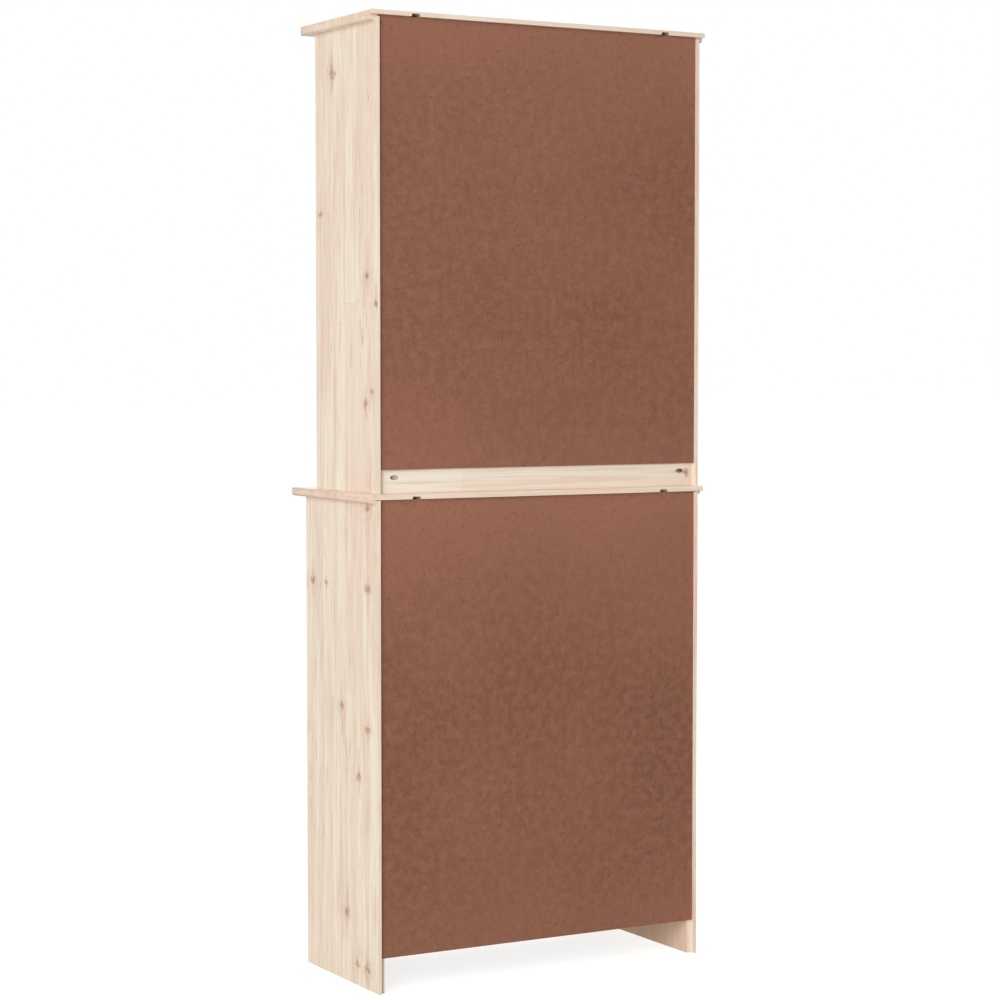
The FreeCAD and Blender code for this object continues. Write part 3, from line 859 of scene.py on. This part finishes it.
def fit_screws(body, seats, tree, steel):
    """All the screws of one body in one piece; a seat is a place, a direction and the size of a head."""
    name = body + "_screws"
    mesh = bpy.data.meshes.new(name)
    mesh.from_pydata([Vector(place) - Vector(facing) * screw_sink for place, facing, size in seats], [], [])
    for attribute, vectors in (
        ("facing", [Vector(facing) for place, facing, size in seats]),
        ("head_size", [Vector((radius, radius, rise)) for place, facing, (radius, rise) in seats]),
    ):
        layer = mesh.attributes.new(attribute, "FLOAT_VECTOR", "POINT")
        layer.data.foreach_set("vector", [number for vector in vectors for number in vector])
    piece = bpy.data.objects.new(name, mesh)
    bpy.context.collection.objects.link(piece)
    heads = piece.modifiers.new("heads", "NODES")
    heads.node_group = tree
    given = screw_shape | {"Turn seed": len(body), "Steel": steel}
    for socket in tree.interface.items_tree:
        if socket.name in given:
            heads[socket.identifier] = given[socket.name]
    settled = piece.evaluated_get(bpy.context.evaluated_depsgraph_get())
    plain = bpy.data.meshes.new_from_object(settled)
    piece.modifiers.remove(heads)
    piece.data = plain
    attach(piece, body)


def strike_plate(door, steel):
    """Rounded plate on the back of a door, where it meets its catch; gives the place of its screw."""
    low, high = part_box(door + "_stiles")
    inward = math.copysign(1, low.x + high.x)
    free_edge = low.x if inward > 0 else high.x
    middle = Vector((free_edge + inward * strike_inset, high.y, high.z - strike_drop))
    shell = bmesh.new()
    half_x, half_z = strike_width / 2 - strike_corner, strike_height / 2 - strike_corner
    outline = []
    for quarter, (corner_x, corner_z) in enumerate(((1, 1), (-1, 1), (-1, -1), (1, -1))):
        for step in range(strike_corner_steps + 1):
            angle = (quarter + step / strike_corner_steps) * math.pi / 2
            outline.append(shell.verts.new((
                middle.x + corner_x * half_x + strike_corner * math.cos(angle),
                middle.y - screw_sink,
                middle.z + corner_z * half_z + strike_corner * math.sin(angle),
            )))
    face = shell.faces.new(outline)
    raised = bmesh.ops.extrude_face_region(shell, geom=[face])["geom"]
    raised = [part for part in raised if isinstance(part, bmesh.types.BMVert)]
    bmesh.ops.translate(shell, verts=raised, vec=(0, strike_thick + screw_sink, 0))
    bmesh.ops.recalc_face_normals(shell, faces=shell.faces)
    mesh = bpy.data.meshes.new(door + "_strike_plate")
    shell.to_mesh(mesh)
    shell.free()
    mesh.materials.append(steel)
    piece = bpy.data.objects.new(mesh.name, mesh)
    bpy.context.collection.objects.link(piece)
    ease(piece, steel_ease)
    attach(piece, door)
    return middle + Vector((0, strike_thick, 0))


def hinge_seats(door):
    """Screws of a door's hinges: those in the door, then those in the side that it hangs on."""
    stiles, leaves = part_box(door + "_stiles"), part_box(door + "_leaves")
    part, hand_word = door.split("_")[:2]
    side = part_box(part + "_side_" + hand_word)
    hand = 1 if hand_word == "right" else -1
    door_face = max(abs(corner.x) for corner in stiles) * hand
    side_face = min(abs(corner.x) for corner in side) * hand
    y = leaves[1].y - hinge_screw_inset
    on_door, on_side = [], []
    for middle in (leaves[0].z + leaf_length / 2, leaves[1].z - leaf_length / 2):
        for z in (middle - hinge_screw_spread, middle + hinge_screw_spread):
            on_door.append(((door_face, y, z), (hand, 0, 0), hinge_screw))
            on_side.append(((side_face, y, z), (-hand, 0, 0), hinge_screw))
    return on_door, on_side


def pocket_seats():
    """Screws at the bottoms of the slanting pockets in the upper rear rail."""
    low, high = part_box("upper_rear_rail")
    seats = []
    for hand in (-1, 1):
        way = Vector((hand * math.cos(pocket_slant), -math.sin(pocket_slant), 0))
        mouth = Vector((hand * (high.x - pocket_inset), high.y, low.z + pocket_lift))
        seats.append((mouth + way * pocket_depth, -way, pocket_screw))
    return seats


def knob_seat(knob, back):
    """The screw that holds a knob, on the back of the board that carries it."""
    low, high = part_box(knob)
    return ((low.x + high.x) / 2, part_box(back)[1].y, (low.z + high.z) / 2), (0, 1, 0), knob_screw


def batten_seats(shelf, side):
    """Screws along both battens under a shelf."""
    low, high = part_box(shelf)
    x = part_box(side)[0].x - batten_width
    z = low.z - batten_screw_drop
    ys = [low.y + (high.y - low.y) * share for share in batten_screw_shares]
    return [((hand * x, y, z), (-hand, 0, 0), batten_screw) for hand in (-1, 1) for y in ys]


def catch_seats(door, ceiling):
    """Screws up through a catch."""
    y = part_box(door + "_stiles")[1].y + catch_middle
    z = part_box(ceiling)[0].z - catch_height
    return [((x, y, z), (0, 0, -1), catch_screw) for x in (-catch_screw_spread, catch_screw_spread)]


def fasteners(steel, plate_steel):
    """Every screw and strike plate, on the body that it moves with."""
    tree = screw_heads()
    on_carcass = pocket_seats()
    for shelf, side in (
        ("lower_shelf", "lower_side_right"),
        ("upper_shelf_low", "upper_side_right"),
        ("upper_shelf_high", "upper_side_right"),
    ):
        on_carcass += batten_seats(shelf, side)
    on_carcass += catch_seats("lower_right_door", "drawer_front_rail")
    on_carcass += catch_seats("upper_right_door", "top_board")
    for door in ("lower_left_door", "lower_right_door", "upper_left_door", "upper_right_door"):
        on_door, on_side = hinge_seats(door)
        on_carcass += on_side
        on_door.append(knob_seat(door + "_knob", door + "_stiles"))
        on_door.append((strike_plate(door, plate_steel), (0, 1, 0), strike_screw))
        fit_screws(door, on_door, tree, steel)
    for drawer in ("left_drawer", "right_drawer"):
        fit_screws(drawer, [knob_seat(drawer + "_knob", drawer + "_front")], tree, steel)
    fit_screws("carcass", on_carcass, tree, steel)


def pale_floor():
    """A wide floor, white to the camera, that takes the highboard's shadow."""
    mesh = bpy.data.meshes.new("floor")
    far = floor_reach
    mesh.from_pydata([(-far, -far, 0), (far, -far, 0), (far, far, 0), (-far, far, 0)], [], [(0, 1, 2, 3)])
    floor = bpy.data.objects.new("floor", mesh)
    bpy.context.collection.objects.link(floor)
    pale = Finish("pale_floor")
    matt = pale.node("ShaderNodeBsdfDiffuse", inputs={"Color": (floor_tone, floor_tone, floor_tone, 1.0)})
    glow = pale.node("ShaderNodeEmission", inputs={"Color": white, "Strength": floor_glow})
    lifted = pale.node("ShaderNodeAddShader", inputs={0: matt, 1: glow})
    mixed = pale.node("ShaderNodeMixShader", inputs={0: pale.seen(), 1: matt, 2: lifted})
    mesh.materials.append(pale.end(mixed))


def soft_room():
    """Soft light from all round, behind which the camera sees plain white."""
    world = bpy.data.worlds.new("studio")
    world.use_nodes = True
    room = Nodes(world.node_tree)
    soft = room.node("ShaderNodeBackground", inputs={"Color": white, "Strength": room_light})
    plain = room.node("ShaderNodeBackground", inputs={"Color": white, "Strength": 1.0})
    mixed = room.node("ShaderNodeMixShader", inputs={0: room.seen(), 1: soft, 2: plain})
    room.node("ShaderNodeOutputWorld", inputs={"Surface": mixed})
    bpy.context.scene.world = world


def softbox(name, place, edge, power, colour):
    """A square lamp that looks at the middle of the highboard."""
    lamp = bpy.data.lights.new(name, "AREA")
    lamp.size = edge
    lamp.energy = power
    lamp.color = colour
    box = bpy.data.objects.new(name, lamp)
    middle = (Vector(cad_box[0]) + Vector(cad_box[1])) / 2
    box.location = place
    box.rotation_euler = (middle - Vector(place)).to_track_quat("-Z", "Y").to_euler()
    bpy.context.collection.objects.link(box)


def camera():
    """The photograph's view."""
    lens = bpy.data.cameras.new("camera")
    lens.sensor_width = camera_sensor
    lens.lens = camera_lens
    view = bpy.data.objects.new("camera", lens)
    view.location = camera_place
    view.rotation_euler = (math.radians(90 - camera_drop), 0, math.radians(camera_heading))
    bpy.context.collection.objects.link(view)
    bpy.context.scene.camera = view


bpy.context.scene.view_settings.view_transform = "Standard"
zinc = plated_steel("hinge_steel", zinc_shades)
dress_nodes(board_finishes(), {
    "hardboard": hardboard("hardboard"),
    "hinge_steel": zinc,
    "catch_plastic": moulded_brown("catch_plastic"),
})
fasteners(plated_steel("screw_steel", screw_shades), zinc)
pale_floor()
soft_room()
for lamp_name, lamp_settings in softboxes.items():
    softbox(lamp_name, *lamp_settings)
camera()
